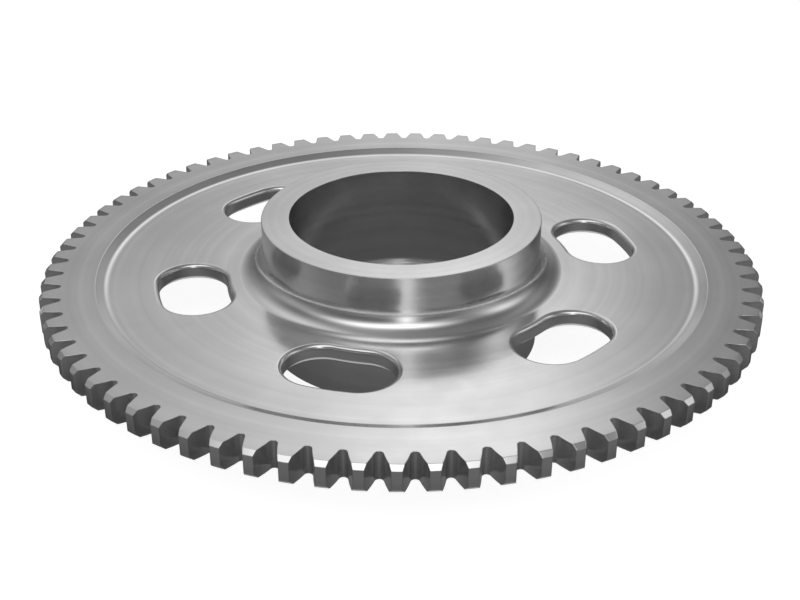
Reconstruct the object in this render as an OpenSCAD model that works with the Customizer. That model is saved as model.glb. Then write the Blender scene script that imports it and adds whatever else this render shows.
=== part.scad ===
// Spur idler gear in one piece: a toothed rim, a thin recessed web with six
// kidney slots, and a hub that stands out on both sides round a stepped bore.
// Units are millimetres and +Z is up. The origin is on the bore's axis at the
// hub's lower face. +X passes through the middle of a slot and of a tooth.

/* [Teeth] */
// Number of teeth
teeth = 75; // [66:1:96]
// Module: the pitch diameter divided by the number of teeth
module_mm = 2; // [1.8:0.05:2.4]
// Pressure angle in degrees
pressure_angle = 20; // [17:0.5:25]
// Thickening of the teeth, given as a profile shift in modules
thickening = 0.2; // [0:0.05:0.35]
// Height of the tips above the pitch circle, in modules
tip_factor = 1; // [0.8:0.05:1.1]
// Depth of the roots below the pitch circle, in modules
root_factor = 1.225; // [1.1:0.025:1.3]
// Width of the chamfers on the ends of the tips
tip_chamfer = 0.9; // [0.3:0.1:1.4]

/* [Rim] */
// Thickness of the rim along the axis
rim_w = 5.8; // [4.8:0.1:20]
// Width of the flat band between the roots and the recess
rim_band = 7.05; // [4:0.05:8.5]

/* [Web] */
// Depth of the recess on each side of the web
recess = 1.1; // [0.6:0.1:1.8]
// Slope of the recess's outer edge, in degrees from the web
recess_slope = 27; // [15:1:45]
// Radius of the concave foot of that edge
recess_round = 3; // [1:0.5:5]

/* [Hub] */
// Diameter of the hub
hub_d = 60; // [54:1:72]
// Height of the hub above the rim
hub_above = 10.7; // [6:0.1:24]
// Depth of the hub below the rim
hub_below = 12.1; // [6:0.1:24]
// Radius of the fillets between hub and web
hub_fillet = 5; // [2:0.5:6.5]

/* [Bore] */
// Diameter of the bearing seat, open at the top
bore_d = 48; // [38:0.5:52]
// Width of the lip that stands in from the seat's wall
lip_w = 2; // [1:0.25:5]
// Thickness of the lip, measured up from the hub's lower face
lip_h = 4.9; // [2:0.1:8]

/* [Slots] */
// Number of kidney slots
slot_count = 6; // [3:1:8]
// Width of a slot between its walls
slot_w = 14.4; // [8:0.2:17.4]
// Angle between the centres of a slot's two round ends
slot_arc = 9.9; // [4:0.1:18]
// Width of web between a slot's inner wall and the hub's fillet
slot_gap = 3.05; // [1.5:0.05:6]
// Radius of the rounded edges of the slots
slot_round = 1; // [0.3:0.1:1.2]

/* [Hidden] */
$fn = 96;

steel = [0.72, 0.73, 0.75];

// How far a cutter runs past the faces that it cuts
past = 1;
// How far a fillet's circle sinks into the two faces, so that they cross cleanly
sink = 0.002;
// Angle by which the two halves of a slot's cutter overlap at its middle
slot_overlap = 1;
// Steps of the search for the full-round root
root_steps = 40;

// Heights
rim_z0 = hub_below;
rim_z1 = rim_z0 + rim_w;
web_z0 = rim_z0 + recess;
web_z1 = rim_z1 - recess;
hub_z1 = rim_z1 + hub_above;

// Radii
pitch_r = teeth * module_mm / 2;
base_r = pitch_r * cos(pressure_angle);
tip_r = pitch_r + tip_factor * module_mm;
root_r = pitch_r - root_factor * module_mm;
hub_r = hub_d / 2;
bore_r = bore_d / 2;
lip_r = bore_r - lip_w;
rim_edge_r = root_r - rim_band;
rim_foot_r = rim_edge_r - recess / tan(recess_slope);
slot_r = hub_r + hub_fillet + slot_gap + slot_w / 2;
tooth_step = 360 / teeth;
slot_step = 360 / slot_count;

// Involute geometry, in a frame whose X axis is the middle line of a tooth gap.
// The involute function, in degrees
function inv(a) = tan(a) * 180 / PI - a;
// Pressure angle of the flank where it passes radius r
function flank_angle(r) = acos(base_r / r);
// Half of the gap's angle at the pitch circle
gap_angle = tooth_step / 4 - 2 * thickening * tan(pressure_angle) / teeth * 180 / PI;
// Half of the gap's angle at radius r
function gap_at(r) = gap_angle - inv(pressure_angle) + inv(flank_angle(r));
// Point of the flank at radius r
function flank_point(r) = r * [cos(gap_at(r)), sin(gap_at(r))];
// Angle between the flank and the gap's middle line at radius r
function flank_slope(r) = gap_at(r) + flank_angle(r);
// Radius of the circle that touches both flanks at radius r
function touching_r(r) = flank_point(r).y / cos(flank_slope(r));
// Distance from the axis to that circle's centre
function touching_x(r) = flank_point(r).x + flank_point(r).y * tan(flank_slope(r));
// Radius at which the touching circle reaches down to the root, found by halving
function root_touch(low, high, steps) =
    steps == 0 ? (low + high) / 2
    : touching_x((low + high) / 2) - touching_r((low + high) / 2) > root_r
        ? root_touch(low, (low + high) / 2, steps - 1)
        : root_touch((low + high) / 2, high, steps - 1);
// Centre of the circle through three points
function centre_of(a, b, c) =
    let (
        turn = 2 * (a.x * (b.y - c.y) + b.x * (c.y - a.y) + c.x * (a.y - b.y)),
        x = (a * a) * (b.y - c.y) + (b * b) * (c.y - a.y) + (c * c) * (a.y - b.y),
        y = (a * a) * (c.x - b.x) + (b * b) * (a.x - c.x) + (c * c) * (b.x - a.x)
    )
    [x, y] / turn;

root_touch_r = root_touch(max(root_r, base_r), tip_r, root_steps);
flank_foot = flank_point(root_touch_r);
flank_mid = flank_point((root_touch_r + tip_r) / 2);
flank_tip = flank_point(tip_r);
flank_centre = centre_of(flank_foot, flank_mid, flank_tip);
flank_r = norm(flank_tip - flank_centre);

// Fills the corner p between two faces that leave it at angles a and b, up to
// an arc of radius r.
module fillet(p, a, b, r) {
    half = (b - a) / 2;
    reach = r / tan(half);
    middle = [cos(a + half), sin(a + half)];
    difference() {
        polygon([p, p + reach * [cos(a), sin(a)], p + reach * [cos(b), sin(b)]]);
        translate(p + (r - sink) / sin(half) * middle)
            circle(r = r);
    }
}

// Half section of the turned blank, from the bore out to the tips.
module blank_section() {
    polygon([
        [lip_r, 0],
        [hub_r, 0],
        [hub_r, web_z0],
        [rim_foot_r, web_z0],
        [rim_edge_r, rim_z0],
        [tip_r - tip_chamfer, rim_z0],
        [tip_r, rim_z0 + tip_chamfer],
        [tip_r, rim_z1 - tip_chamfer],
        [tip_r - tip_chamfer, rim_z1],
        [rim_edge_r, rim_z1],
        [rim_foot_r, web_z1],
        [hub_r, web_z1],
        [hub_r, hub_z1],
        [bore_r, hub_z1],
        [bore_r, lip_h],
        [lip_r, lip_h]
    ]);
    fillet([hub_r, web_z0], -90, 0, hub_fillet);
    fillet([hub_r, web_z1], 0, 90, hub_fillet);
    fillet([rim_foot_r, web_z0], 180, 360 - recess_slope, recess_round);
    fillet([rim_foot_r, web_z1], recess_slope, 180, recess_round);
}

// One tooth gap in plan: involute flanks above a full-round root.
module gap_plan() {
    difference() {
        union() {
            translate([touching_x(root_touch_r), 0])
                circle(r = touching_r(root_touch_r) + sink);
            translate([flank_foot.x, -module_mm * PI / 2])
                square([tip_r + past - flank_foot.x, module_mm * PI]);
        }
        for (side = [-1, 1])
            translate([flank_centre.x, side * flank_centre.y])
                circle(r = flank_r);
    }
}

module tooth_gap() {
    translate([0, 0, rim_z0 - past])
        linear_extrude(height = rim_w + 2 * past)
            gap_plan();
}

// Section of a slot with its rounded edges, on the given sides of its middle.
module slot_section(sides) {
    reach = slot_w / 2 + slot_round;
    left = min(sides) < 0 ? -reach : 0;
    low = web_z0 + slot_round - sink;
    high = web_z1 - slot_round + sink;
    difference() {
        translate([left, web_z0 - past])
            square([reach - left, web_z1 - web_z0 + 2 * past]);
        for (side = sides)
            translate([side * reach, 0]) {
                translate([0, low])
                    circle(r = slot_round);
                translate([0, high])
                    circle(r = slot_round);
                translate([-slot_round, low])
                    square([2 * slot_round, high - low]);
            }
    }
}

// One half of a slot's cutter: a sweep about the gear's axis and a round end.
module slot_half(side) {
    sweep = slot_arc / 2 + slot_overlap;
    rotate([0, 0, side * slot_arc / 2]) {
        rotate_extrude(angle = sweep, start = side > 0 ? -sweep : 0)
            translate([slot_r, 0])
                slot_section([-1, 1]);
        translate([slot_r, 0, 0])
            rotate_extrude(angle = 180, start = side > 0 ? 0 : 180)
                slot_section([1]);
    }
}

module idler_gear() {
    color(steel)
        difference() {
            rotate_extrude()
                blank_section();
            for (i = [0 : teeth - 1])
                rotate([0, 0, (i + 0.5) * tooth_step])
                    tooth_gap();
            for (i = [0 : slot_count - 1])
                rotate([0, 0, i * slot_step]) {
                    slot_half(-1);
                    slot_half(1);
                }
        }
}

idler_gear();
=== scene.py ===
"""Looks of the idler gear: a finely meshed body in satin steel, a pale floor, soft studio light and
the photograph's camera. The body repeats the sizes of the CAD part, with small edge breaks on the
hub and exact normals, so that the bright metal shows no facets."""

import math

import bpy
import numpy as np
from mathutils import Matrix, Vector
from mathutils.geometry import tessellate_polygon


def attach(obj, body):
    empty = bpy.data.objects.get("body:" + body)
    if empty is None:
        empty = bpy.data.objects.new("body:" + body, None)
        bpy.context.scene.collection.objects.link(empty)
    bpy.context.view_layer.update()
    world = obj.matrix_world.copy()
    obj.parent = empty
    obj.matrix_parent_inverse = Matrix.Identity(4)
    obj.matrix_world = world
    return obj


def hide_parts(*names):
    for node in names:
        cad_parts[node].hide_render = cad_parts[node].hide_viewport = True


# The camera, as fitted to the photograph. Lengths are metres and angles are degrees.
CAMERA_AZIMUTH = 254.92
CAMERA_DISTANCE = 0.24823
CAMERA_HEIGHT = 0.14205
CAMERA_PITCH = 28.436
CAMERA_YAW = -0.066
LENS_MM = 57.11
SENSOR_MM = 36.0
CLIP_START = 0.01
CLIP_END = 20

# Sizes of the gear in millimetres, the same as the CAD part's
MM = 0.001
TEETH = 75
MODULE = 2.0
PRESSURE_ANGLE = math.radians(20)
THICKENING = 0.2
TIP_FACTOR = 1.0
ROOT_FACTOR = 1.225
PITCH_R = TEETH * MODULE / 2
TIP_R = PITCH_R + TIP_FACTOR * MODULE
ROOT_R = PITCH_R - ROOT_FACTOR * MODULE
TIP_CHAMFER = 0.9
RIM_Z = (12.1, 17.9)
RIM_BAND = 7.05
RIM_EDGE_R = ROOT_R - RIM_BAND
RECESS = 1.1
RECESS_SLOPE = math.radians(27)
RECESS_ROUND = 3.0
WEB_Z = (RIM_Z[0] + RECESS, RIM_Z[1] - RECESS)
HUB_R = 30.0
HUB_TOP = 28.6
HUB_FILLET = 5.0
BORE_R = 24.0
LIP_R = 22.0
LIP_H = 4.9
SLOTS = 6
SLOT_W = 14.4
SLOT_R = 45.25
SLOT_HALF_ARC = math.radians(4.95)
SLOT_ROUND = 1.0

# Edge break on the hub, which the CAD part leaves sharp
EDGE_BREAK = 0.15

# Mesh density: segments along each kind of curve
ROOT_STEPS = 5
FLANK_STEPS = 7
CHAMFER_STEPS = 2
TIP_STEPS = 4
RECESS_STEPS = 8
FILLET_STEPS = 24
BREAK_STEPS = 3
HUB_COLUMNS = 360
SLOT_END_STEPS = 32
SLOT_SIDE_STEPS = 16
SLOT_ROUND_STEPS = 8
DISC_STEPS = 96
# Halvings in the search for the full-round root
ROOT_HALVINGS = 50

# The steel's colours and roughness
STEEL_LOW = (0.70, 0.70, 0.70)
STEEL_HIGH = (0.82, 0.82, 0.82)
ROUGH_LOW = 0.16
ROUGH_HIGH = 0.2
# Added to the roughness of upright faces
WALL_ROUGH = 0.045
# The noise of each kind of mark: its size in millimetres and its detail
GROOVES = (0.35, 3.0)
BANDS = (2.5, 2.0)
CLOUDS = (22.0, 3.0)
MOTTLE = (5.0, 3.0)
GRAIN = (0.25, 2.0)
# Depth of the marks and radius of the worn edges, in millimetres
MARK_DEPTH = 0.0005
EDGE_ROUND = 0.2
BEVEL_SAMPLES = 6
# How much the marks change the tone, which TONE_STEP turns into a place between the two colours
TONE_BANDS = 0.6
TONE_GRAIN = 0.08
TONE_WORN = 0.3
# How much they change the roughness
ROUGH_BANDS = 0.06
ROUGH_GRAIN = 0.015
ROUGH_WORN = -0.05
# Height of the grain as a share of the grooves' height
GRAIN_SHARE = 0.15
# Lowest and highest input of each smooth step. The first two take the upward part of the normal.
FLAT_STEP = (0.35, 0.75)
WALL_STEP = (0.1, 0.5)
EDGE_STEP = (0.004, 0.1)
WORN_STEP = (0.3, 0.65)
TONE_STEP = (0.25, 0.85)
ROUGH_STEP = (0.3, 0.7)
MARK_STEP = (0.35, 0.65)
# Least share that is left of the wear on edges and of the grooves' height
WORN_LEAST = 0.3
MARK_LEAST = 0.5

# The floor: its radius in metres, its colour, and how white it looks without any light
FLOOR_RADIUS = 4.0
FLOOR_COLOUR = (0.5, 0.5, 0.5, 1)
FLOOR_WHITE = 0.86
# The grid on the floor, in metres: a glowing sheet that only the metal's reflections show, which is
# painted reflection.
# It turns see-through between the two values of Layer Weight's Facing, and GRID_CLEAR is the share
# of the floor that shows where it is most see-through.
GRID_RADIUS = 0.4
GRID_LIFT = 0.0002
GRID_OPEN = 0.12
GRID_CLOSED = 0.32
GRID_CLEAR = 0.5
# Its glow, as pairs of a radius and a level: painted reflection, darkest as painted shade in a ring
# round the teeth
PAINTED_REFLECTION_LEVELS = [
    (0, 0.08),
    (0.03, 0.09),
    (0.05, 0.16),
    (0.062, 0.16),
    (0.076, 0.06),
    (0.088, 0.06),
    (0.096, 0.16),
    (0.12, 0.14),
    (0.2, 0.04),
]

# The light. Each soft box has its azimuth to the left of the camera's view and its elevation, its
# width and height as the angles at which it has faded to 0.6, and its strength.
ROOM_LEVEL = 0.09
SOFT_BOXES = [
    (-3, 38, 5, 10, 0.66),
    (0, 28, 10, 7, 0.45),
    (0, 46, 12, 8, 0.20),
    (32, 46, 13.6, 15.4, 0.50),
    (45, 60, 12, 10, 0.25),
    (-47, 39, 8.7, 10.9, 0.22),
    (-90, 29, 12, 7, 0.82),
    (-72, 18, 9, 8, 0.16),
    (-108, 16, 14, 12, 0.25),
    (-6, 8, 13, 6, 0.38),
    (80, 22, 22, 9, 0.24),
    (0, 88, 22, 16, 0.15),
    (145, 57, 14.2, 14.2, 0.34),
    (156, 52, 22, 7, 1.2),
    (198, 51, 13, 7, 1.2),
    (176, 12, 25, 5, 0.2),
    (184, 21, 4.5, 12, 1.5),
]


class Surface:
    """Collects faces with the exact normal at each of their corners, welding equal points."""

    WELD_DIGITS = 4

    def __init__(self):
        self.index = {}
        self.points = []
        self.faces = []
        self.normals = []

    def vertex(self, point):
        key = tuple(round(float(c), self.WELD_DIGITS) + 0.0 for c in point)
        if key not in self.index:
            self.index[key] = len(self.points)
            self.points.append([float(c) for c in point])
        return self.index[key]

    def face(self, points, normals):
        """Adds one face, wound so that it faces the way its normals point."""
        across = np.cross(points[1] - points[0], points[-1] - points[0])
        if np.dot(across, normals[0]) < 0:
            points, normals = points[::-1], normals[::-1]
        ids = [self.vertex(p) for p in points]
        keep = [i for i, v in enumerate(ids) if v != ids[i - 1]]
        if len(keep) >= 3:
            self.faces.append([ids[i] for i in keep])
            self.normals.extend([list(normals[i]) for i in keep])

    def grid(self, points, normals):
        """Adds the quads of a grid, given as arrays of shape (rows, columns, 3)."""
        for i in range(len(points) - 1):
            for j in range(len(points[0]) - 1):
                corners = ((i, j), (i, j + 1), (i + 1, j + 1), (i + 1, j))
                self.face([points[c] for c in corners], [normals[c] for c in corners])

    def mesh(self, name):
        mesh = bpy.data.meshes.new(name)
        mesh.from_pydata([Vector(p) * MM for p in self.points], [], self.faces)
        mesh.polygons.foreach_set("use_smooth", [True] * len(mesh.polygons))
        mesh.normals_split_custom_set([Vector(n).normalized() for n in self.normals])
        mesh.validate()
        return mesh


def direction(azimuth, elevation):
    """Unit vector at an azimuth from +X towards +Y and an elevation, both in degrees."""
    a, e = math.radians(azimuth), math.radians(elevation)
    return Vector((math.cos(a) * math.cos(e), math.sin(a) * math.cos(e), math.sin(e)))


def unit(angles):
    """Plan vectors of length 1 at the given angles."""
    return np.stack([np.cos(angles), np.sin(angles)], 1)


def turned(points, angle):
    """Plan points turned about the gear's axis."""
    c, s = math.cos(angle), math.sin(angle)
    return np.array(points) @ np.array([[c, s], [-s, c]])


def lifted(plan, z):
    """Plan points or vectors with a height or a z component."""
    return np.concatenate([plan, np.broadcast_to(np.reshape(z, (-1, 1)), (len(plan), 1))], 1)


def involute(angle):
    return math.tan(angle) - angle


def flank_angle(r):
    return math.acos(PITCH_R * math.cos(PRESSURE_ANGLE) / r)


def half_gap(r):
    """Half of a tooth gap's angle at radius r."""
    at_pitch = math.pi / 2 / TEETH - 2 * THICKENING * math.tan(PRESSURE_ANGLE) / TEETH
    return at_pitch - involute(PRESSURE_ANGLE) + involute(flank_angle(r))


def root_circle(r):
    """Centre distance and radius of the circle that touches both flanks at radius r."""
    slope = half_gap(r) + flank_angle(r)
    x, y = r * math.cos(half_gap(r)), r * math.sin(half_gap(r))
    return x + y * math.tan(slope), y / math.cos(slope)


def root_touch():
    """Radius at which the full-round root that reaches down to ROOT_R leaves the flanks."""
    low, high = ROOT_R, TIP_R
    for _ in range(ROOT_HALVINGS):
        middle = (low + high) / 2
        x, radius = root_circle(middle)
        low, high = (low, middle) if x - radius > ROOT_R else (middle, high)
    return low


def half_outline():
    """Plan points and normals from the bottom of the gap before tooth 0 up to its tip, and the
    indices at which the flank and the chamfer start."""
    touch = root_touch()
    x, radius = root_circle(touch)
    slope = half_gap(touch) + flank_angle(touch)
    points, normals = [], []
    for angle in np.linspace(math.pi, math.pi / 2 + slope, ROOT_STEPS + 1):
        out = np.array([math.cos(angle), math.sin(angle)])
        points.append([x, 0] + radius * out)
        normals.append(-out)
    radii = [
        *np.linspace(touch, TIP_R - TIP_CHAMFER, FLANK_STEPS + 1)[1:],
        *np.linspace(TIP_R - TIP_CHAMFER, TIP_R, CHAMFER_STEPS + 1)[1:],
    ]
    for r in radii:
        points.append([r * math.cos(half_gap(r)), r * math.sin(half_gap(r))])
        slope = half_gap(r) + flank_angle(r)
        normals.append([math.sin(slope), -math.cos(slope)])
    back = -math.pi / TEETH
    return turned(points, back), turned(normals, back), ROOT_STEPS, ROOT_STEPS + FLANK_STEPS


def row_across(point):
    """Points across a tooth at the radius of a point of its left flank."""
    r, half = math.hypot(*point), math.atan2(point[1], point[0])
    return r * unit(np.linspace(half, -half, TIP_STEPS + 1))


def foot_row(left, flank):
    """Points along one tooth's foot, from the gap before the tooth to the gap after."""
    root = left[:flank]
    return np.concatenate([root, row_across(left[flank]), root[::-1] * [1, -1]])


def foot_angles(left, flank):
    plan = foot_row(left, flank)
    return np.arctan2(plan[:, 1], plan[:, 0])


def add_tooth(surface, turn, left, normals, flank, chamfer):
    """One tooth and its share of the rim, out of half_outline's results."""
    radii = np.hypot(left[:, 0], left[:, 1])
    bevel = np.maximum(radii - (TIP_R - TIP_CHAMFER), 0)
    for mirror in ([1, 1], [1, -1]):
        plan = turned(left * mirror, turn)
        flat = lifted(turned(normals * mirror, turn), 0.0)
        walls = np.stack([lifted(plan, RIM_Z[0] + bevel), lifted(plan, RIM_Z[1] - bevel)])
        surface.grid(walls, np.stack([flat, flat]))

    tip = turned(row_across(left[-1]), turn)
    outward = lifted(tip / TIP_R, 0.0)
    heights = (RIM_Z[0] + TIP_CHAMFER, RIM_Z[1] - TIP_CHAMFER)
    surface.grid(np.stack([lifted(tip, z) for z in heights]), np.stack([outward, outward]))

    inner = RIM_EDGE_R * unit(foot_angles(left, flank) + turn)
    outer = turned(foot_row(left, flank), turn)
    rows = [turned(row_across(p), turn) for p in left[flank : chamfer + 1]]
    tips = [turned(row_across(p), turn) for p in left[chamfer:]]
    for z, side in zip(RIM_Z, (-1, 1)):
        up = np.array([0, 0, side])
        ring = np.stack([lifted(inner, z), lifted(outer, z)])
        surface.grid(ring, np.broadcast_to(up, ring.shape))
        top = np.stack([lifted(row, z) for row in rows])
        surface.grid(top, np.broadcast_to(up, top.shape))
        slant = np.stack([lifted(row, z - side * b) for row, b in zip(tips, bevel[chamfer:])])
        lean = np.stack([lifted(row / math.hypot(*row[0]), side) for row in tips])
        surface.grid(slant, lean / math.sqrt(2))


def arc(centre, radius, start, end, steps, hollow):
    """Section points (r, z) and normals of an arc. Angles are degrees from +r towards +z."""
    out = unit(np.radians(np.linspace(start, end, steps + 1)))
    return np.array(centre) + radius * out, -out if hollow else out


def straight(start, end, normal):
    return np.array([start, end], float), np.array([normal, normal], float)


def revolve(surface, section, angles):
    """Adds the face that a section sweeps round the axis."""
    points, normals = section
    c, s = np.cos(angles), np.sin(angles)

    def swept(values):
        r, z = values[:, :1], values[:, 1:]
        return np.stack([r * c, r * s, z + 0 * c], 2)

    surface.grid(swept(points), swept(normals))


def add_recess_edges(surface, angles):
    """The sloping edges of the web's recesses with their hollow feet. Returns the radius at which
    the feet leave the web."""
    corner_r = RIM_EDGE_R - RECESS / math.tan(RECESS_SLOPE)
    foot_r = corner_r - RECESS_ROUND * math.tan(RECESS_SLOPE / 2)
    slope = math.degrees(RECESS_SLOPE)
    for web, rim, side in zip(WEB_Z, RIM_Z, (-1, 1)):
        centre = (foot_r, web + side * RECESS_ROUND)
        foot = arc(centre, RECESS_ROUND, -90 * side, (slope - 90) * side, RECESS_STEPS, True)
        lean = (-math.sin(RECESS_SLOPE), side * math.cos(RECESS_SLOPE))
        revolve(surface, foot, angles)
        revolve(surface, straight(foot[0][-1], (RIM_EDGE_R, rim), lean), angles)
    return foot_r


def add_hub(surface, angles):
    """The hub, its bore and its fillets. Returns the radius at which the fillets leave the web."""
    b = EDGE_BREAK
    fillet_r = HUB_R + HUB_FILLET
    top, low = WEB_Z[1] + HUB_FILLET, WEB_Z[0] - HUB_FILLET
    sections = [
        arc((fillet_r, top), HUB_FILLET, 270, 180, FILLET_STEPS, True),
        straight((HUB_R, top), (HUB_R, HUB_TOP - b), (1, 0)),
        arc((HUB_R - b, HUB_TOP - b), b, 0, 90, BREAK_STEPS, False),
        straight((HUB_R - b, HUB_TOP), (BORE_R + b, HUB_TOP), (0, 1)),
        arc((BORE_R + b, HUB_TOP - b), b, 90, 180, BREAK_STEPS, False),
        straight((BORE_R, HUB_TOP - b), (BORE_R, LIP_H), (-1, 0)),
        straight((BORE_R, LIP_H), (LIP_R + b, LIP_H), (0, 1)),
        arc((LIP_R + b, LIP_H - b), b, 90, 180, BREAK_STEPS, False),
        straight((LIP_R, LIP_H - b), (LIP_R, b), (-1, 0)),
        arc((LIP_R + b, b), b, 180, 270, BREAK_STEPS, False),
        straight((LIP_R + b, 0), (HUB_R - b, 0), (0, -1)),
        arc((HUB_R - b, b), b, 270, 360, BREAK_STEPS, False),
        straight((HUB_R, b), (HUB_R, low), (1, 0)),
        arc((fillet_r, low), HUB_FILLET, 180, 90, FILLET_STEPS, True),
    ]
    for section in sections:
        revolve(surface, section, angles)
    return fillet_r


def slot_outline():
    """Plan points in order round the wall of slot 0, and normals that point out of the slot."""
    half = SLOT_W / 2
    side = np.linspace(-SLOT_HALF_ARC, SLOT_HALF_ARC, SLOT_SIDE_STEPS + 1)
    radial = unit(side)
    points, normals = list((SLOT_R + half) * radial), list(radial)
    for end, start in ((SLOT_HALF_ARC, 0.0), (-SLOT_HALF_ARC, math.pi)):
        centre = SLOT_R * np.array([math.cos(end), math.sin(end)])
        out = unit(end + start + np.linspace(0, math.pi, SLOT_END_STEPS + 1))
        if start:
            points += list((SLOT_R - half) * radial[::-1])[1:-1]
            normals += list(-radial[::-1])[1:-1]
        else:
            out = out[1:]
        points += list(centre + half * out)
        normals += list(out)
    return np.array(points[:-1]), np.array(normals[:-1])


def add_slot(surface, turn):
    """The wall of one slot with its rounded edges. Returns the plan of its outer rim."""
    points, normals = (turned(v, turn) for v in slot_outline())
    points, normals = (np.concatenate([v, v[:1]]) for v in (points, normals))
    rows, leans = [], []
    bends = np.radians(np.linspace(90, 0, SLOT_ROUND_STEPS + 1))
    for web, side, order in ((WEB_Z[1], 1, bends), (WEB_Z[0], -1, bends[::-1])):
        for bend in order:
            plan = points + normals * SLOT_ROUND * (1 - math.cos(bend))
            rows.append(lifted(plan, web - side * SLOT_ROUND * (1 - math.sin(bend))))
            leans.append(lifted(-normals * math.cos(bend), side * math.sin(bend)))
    surface.grid(np.stack(rows), np.stack(leans))
    return rows[0][:-1, :2]


def add_web(surface, loops):
    """The web's flat faces, between plan loops: the outer one first, then the holes."""
    flat = [[Vector((*p, 0)) for p in loop] for loop in loops]
    plan = np.concatenate(loops)
    for triangle in tessellate_polygon(flat):
        for z, side in zip(WEB_Z, (-1, 1)):
            corners = lifted(plan[list(triangle)], z)
            surface.face(list(corners), [np.array([0, 0, side])] * 3)


def gear_mesh():
    surface = Surface()
    left, normals, flank, chamfer = half_outline()
    pitch = 2 * math.pi / TEETH
    for i in range(TEETH):
        add_tooth(surface, i * pitch, left, normals, flank, chamfer)
    columns = foot_angles(left, flank)
    rim_angles = np.concatenate([columns[:-1] + i * pitch for i in range(TEETH)])
    foot_r = add_recess_edges(surface, np.append(rim_angles, rim_angles[0]))
    hub_angles = np.linspace(0, 2 * math.pi, HUB_COLUMNS + 1)
    fillet_r = add_hub(surface, hub_angles)
    loops = [foot_r * unit(rim_angles), fillet_r * unit(hub_angles[:-1])]
    for i in range(SLOTS):
        loops.append(add_slot(surface, i * 2 * math.pi / SLOTS))
    add_web(surface, loops)
    return surface.mesh("gear")


def add_object(name, data):
    obj = bpy.data.objects.new(name, data)
    bpy.context.scene.collection.objects.link(obj)
    return obj


def node_tree(owner):
    """Empties the node tree of a material or world and returns a function that adds nodes to it."""
    owner.use_nodes = True
    tree = owner.node_tree
    tree.nodes.clear()

    def fill(socket, value):
        if isinstance(value, bpy.types.NodeSocket):
            tree.links.new(value, socket)
        elif value is not None:
            socket.default_value = value

    def add(kind, *values, settings=None, **named):
        """Adds a node. Values fill its inputs in order, and named ones by name."""
        node = tree.nodes.new("ShaderNode" + kind)
        for key, value in (settings or {}).items():
            setattr(node, key, value)
        for socket, value in zip(node.inputs, values):
            fill(socket, value)
        for key, value in named.items():
            fill(node.inputs[key.replace("_", " ")], value)
        return node

    return add


def fill_ramp(ramp, stops):
    """Gives a colour ramp its stops, as pairs of a place from 0 to 1 and a colour."""
    while len(ramp.elements) < len(stops):
        ramp.elements.new(1.0)
    for element, (place, colour) in zip(ramp.elements, stops):
        element.position = place
        element.color = (*colour, 1)


def calculator(add):
    """Functions that add a Math node, a smooth Map Range node and a Noise node."""

    def calc(operation, *values):
        return add("Math", *values, settings={"operation": operation}).outputs[0]

    def remap(value, low, high, to_low=0.0, to_high=1.0):
        settings = {"interpolation_type": "SMOOTHSTEP"}
        return add("MapRange", value, low, high, to_low, to_high, settings=settings).outputs[0]

    def noise(size, detail, vector=None, along=None):
        """Noise with features of the given size in millimetres, in space or along one value."""
        if along is None:
            settings, place = {"noise_dimensions": "3D"}, {"Vector": vector}
        else:
            settings, place = {"noise_dimensions": "1D"}, {"W": along}
        return add("TexNoise", settings=settings, Scale=1 / size, Detail=detail, **place).outputs[0]

    return calc, remap, noise


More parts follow.
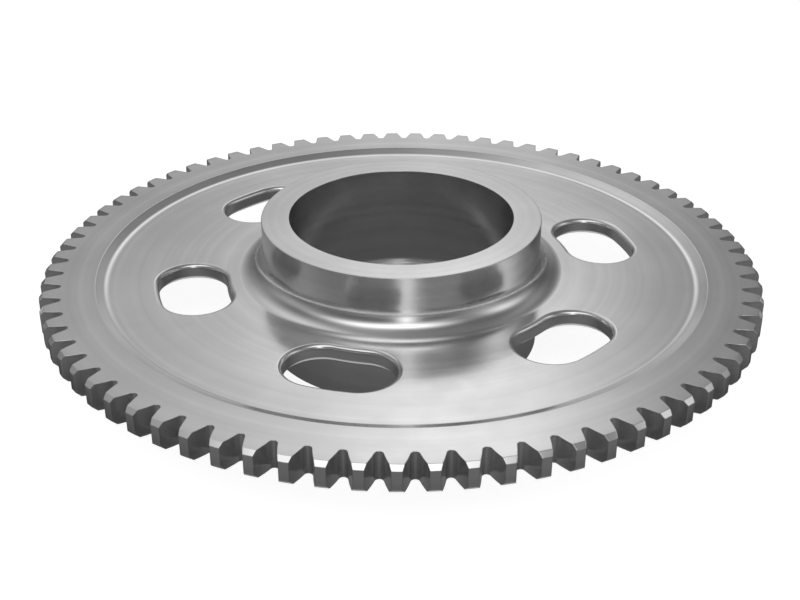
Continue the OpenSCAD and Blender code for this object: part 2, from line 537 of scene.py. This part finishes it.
def steel_material():
    """Satin machined steel. Faint turning marks run round the axis, the finish varies a little from
    place to place, and the edges are slightly rounded, brighter and smoother from handling."""
    material = bpy.data.materials.new("machined_steel")
    add = node_tree(material)
    calc, remap, noise = calculator(add)

    # Position in millimetres, and the line that the tool followed: the radius on flat faces and the
    # height on walls
    coordinates = add("TexCoord").outputs["Object"]
    scaled = add("VectorMath", coordinates, settings={"operation": "SCALE"}, Scale=1 / MM)
    place = scaled.outputs[0]
    x, y, z = add("SeparateXYZ", place).outputs
    radius = calc("SQRT", calc("ADD", calc("MULTIPLY", x, x), calc("MULTIPLY", y, y)))
    normal = add("NewGeometry").outputs["Normal"]
    upward = calc("ABSOLUTE", add("SeparateXYZ", normal).outputs[2])
    flat = remap(upward, *FLAT_STEP)
    track = calc("MULTIPLY_ADD", calc("SUBTRACT", radius, z), flat, z)
    wall = calc("SUBTRACT", 1.0, remap(upward, *WALL_STEP))

    grooves = noise(*GROOVES, along=track)
    bands = noise(*BANDS, along=track)
    clouds = noise(*CLOUDS, place)
    mottle = noise(*MOTTLE, place)
    grain = noise(*GRAIN, place)

    # Edges show where the rounded normal leaves the true one
    rounded = add("Bevel", EDGE_ROUND * MM, settings={"samples": BEVEL_SAMPLES}).outputs[0]
    agree = add("VectorMath", rounded, normal, settings={"operation": "DOT_PRODUCT"})
    edge = remap(calc("SUBTRACT", 1.0, agree.outputs["Value"]), *EDGE_STEP)
    worn = calc("MULTIPLY", edge, remap(mottle, *WORN_STEP, WORN_LEAST))

    def vary(value, mark, amount):
        """A value that a mark raises and lowers by half of the amount."""
        return calc("MULTIPLY_ADD", calc("SUBTRACT", mark, 0.5), amount, value)

    tone = vary(vary(clouds, bands, TONE_BANDS), grain, TONE_GRAIN)
    tone = calc("MULTIPLY_ADD", worn, TONE_WORN, tone)
    ramp = add("ValToRGB", remap(tone, *TONE_STEP))
    fill_ramp(ramp.color_ramp, [(0.0, STEEL_LOW), (1.0, STEEL_HIGH)])

    rough = remap(mottle, *ROUGH_STEP, ROUGH_LOW, ROUGH_HIGH)
    rough = vary(vary(rough, bands, ROUGH_BANDS), grain, ROUGH_GRAIN)
    rough = calc("MULTIPLY_ADD", wall, WALL_ROUGH, rough)
    rough = calc("MULTIPLY_ADD", worn, ROUGH_WORN, rough)

    marks = calc("MULTIPLY", grooves, remap(clouds, *MARK_STEP, MARK_LEAST))
    marks = calc("MULTIPLY_ADD", grain, GRAIN_SHARE, marks)
    bump = add("Bump", Strength=1.0, Distance=MARK_DEPTH * MM, Height=marks, Normal=rounded)
    shader = add(
        "BsdfPrincipled",
        Base_Color=ramp.outputs[0],
        Metallic=1.0,
        Roughness=rough,
        Normal=bump.outputs[0],
    )
    add("OutputMaterial", shader.outputs[0])
    return material


def floor_material():
    """Pale matt floor, lifted to white where the camera, metal or glass looks at it. It keeps the
    object's shadow."""
    material = bpy.data.materials.new("pale_floor")
    add = node_tree(material)
    calc, _, _ = calculator(add)
    path = add("LightPath").outputs
    seen = calc("MAXIMUM", path["Is Camera Ray"], path["Is Glossy Ray"])
    seen = calc("MAXIMUM", seen, path["Is Transmission Ray"])
    matt = add("BsdfDiffuse", FLOOR_COLOUR)
    white = add("Emission", (1, 1, 1, 1), calc("MULTIPLY", seen, FLOOR_WHITE))
    both = add("AddShader", matt.outputs[0], white.outputs[0])
    add("OutputMaterial", both.outputs[0])
    return material


def painted_reflection_material():
    """Painted reflection: a glow that is more or less bright by the distance from the middle,
    darkest as painted shade round the teeth. Where it is seen steeply, the floor shows through."""
    material = bpy.data.materials.new("painted_reflection_grid")
    add = node_tree(material)
    calc, remap, _ = calculator(add)
    place = add("TexCoord").outputs["Object"]
    radius = add("VectorMath", place, settings={"operation": "LENGTH"}).outputs["Value"]
    painted_levels = add("ValToRGB", calc("DIVIDE", radius, GRID_RADIUS))
    stops = [(r / GRID_RADIUS, [level] * 3) for r, level in PAINTED_REFLECTION_LEVELS]
    fill_ramp(painted_levels.color_ramp, stops)
    painted_glow = add("Emission", painted_levels.outputs[0], 1.0)
    # Painted reflection by angle: seen steeply the sheet lets the white floor through, seen at a
    # slant it glows
    slant = add("LayerWeight", Blend=0.5).outputs["Facing"]
    clear = remap(slant, GRID_OPEN, GRID_CLOSED, GRID_CLEAR, 0.0)
    see_through = add("BsdfTransparent")
    shown = add("MixShader", clear, painted_glow.outputs[0], see_through.outputs[0])
    add("OutputMaterial", shown.outputs[0])
    return material


def add_disc(name, radius, z, material):
    """A round sheet, which isn't attached to a body and so isn't part of the object."""
    turn = np.linspace(0, 2 * math.pi, DISC_STEPS, endpoint=False)
    points = lifted(radius * unit(turn), z)
    mesh = bpy.data.meshes.new(name)
    mesh.from_pydata([Vector(p) for p in points], [], [tuple(range(DISC_STEPS))])
    mesh.materials.append(material)
    disc = add_object(name, mesh)
    return disc


def make_painted_reflection_grid():
    """A glowing sheet on the floor that only the metal's reflections show: painted reflection, dark
    round the teeth as painted shade. It keeps the teeth and the walls of the slots dark, where a
    white floor alone would make them white."""
    grid = add_disc("grid", GRID_RADIUS, GRID_LIFT, painted_reflection_material())
    grid.visible_camera = False
    grid.visible_diffuse = False
    grid.visible_shadow = False
    grid.visible_transmission = False


def make_camera():
    data = bpy.data.cameras.new("camera")
    data.lens = LENS_MM
    data.sensor_width = SENSOR_MM
    data.sensor_fit = "HORIZONTAL"
    data.clip_start = CLIP_START
    data.clip_end = CLIP_END
    camera = add_object("camera", data)
    camera.location = CAMERA_DISTANCE * direction(CAMERA_AZIMUTH, 0)
    camera.location.z = CAMERA_HEIGHT
    look = direction(CAMERA_AZIMUTH - 180 - CAMERA_YAW, -CAMERA_PITCH)
    camera.rotation_mode = "QUATERNION"
    camera.rotation_quaternion = look.to_track_quat("-Z", "Y")
    bpy.context.scene.camera = camera


def make_lights():
    """A dim room with soft boxes in it, which fade out towards their edges. The camera sees a white
    backdrop instead."""
    world = bpy.data.worlds.new("studio")
    add = node_tree(world)
    calc, _, _ = calculator(add)
    place = add("TexCoord").outputs["Generated"]
    looking = add("VectorMath", place, settings={"operation": "NORMALIZE"}).outputs[0]

    def square_of(axis):
        """Square of how far the direction looked at leans along an axis."""
        node = add("VectorMath", looking, axis, settings={"operation": "DOT_PRODUCT"})
        lean = node.outputs["Value"]
        return calc("MULTIPLY", lean, lean)

    total = ROOM_LEVEL
    for azimuth, elevation, width, height, strength in SOFT_BOXES:
        azimuth += CAMERA_AZIMUTH - 180
        across = direction(azimuth + 90, 0)
        upward = direction(azimuth, elevation).cross(across)
        off = square_of(across / math.radians(width))
        off = calc("ADD", off, square_of(upward / math.radians(height)))
        fade = calc("EXPONENT", calc("MULTIPLY", off, -0.5))
        total = calc("MULTIPLY_ADD", fade, strength, total)
    total = calc("MAXIMUM", total, add("LightPath").outputs["Is Camera Ray"])
    background = add("Background", (1, 1, 1, 1), total)
    add("OutputWorld", background.outputs[0])
    bpy.context.scene.world = world


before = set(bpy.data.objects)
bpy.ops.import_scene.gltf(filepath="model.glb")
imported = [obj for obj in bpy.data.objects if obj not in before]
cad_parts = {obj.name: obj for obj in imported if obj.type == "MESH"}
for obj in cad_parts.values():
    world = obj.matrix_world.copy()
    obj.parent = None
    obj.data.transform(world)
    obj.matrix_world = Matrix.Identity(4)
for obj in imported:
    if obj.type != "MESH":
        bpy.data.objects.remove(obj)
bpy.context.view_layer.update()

gear = add_object("gear", gear_mesh())
gear.data.materials.append(steel_material())
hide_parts("idler_gear")
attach(gear, "root")
add_disc("floor", FLOOR_RADIUS, 0, floor_material())
make_painted_reflection_grid()
make_lights()
make_camera()

bpy.context.scene.view_settings.view_transform = "Standard"
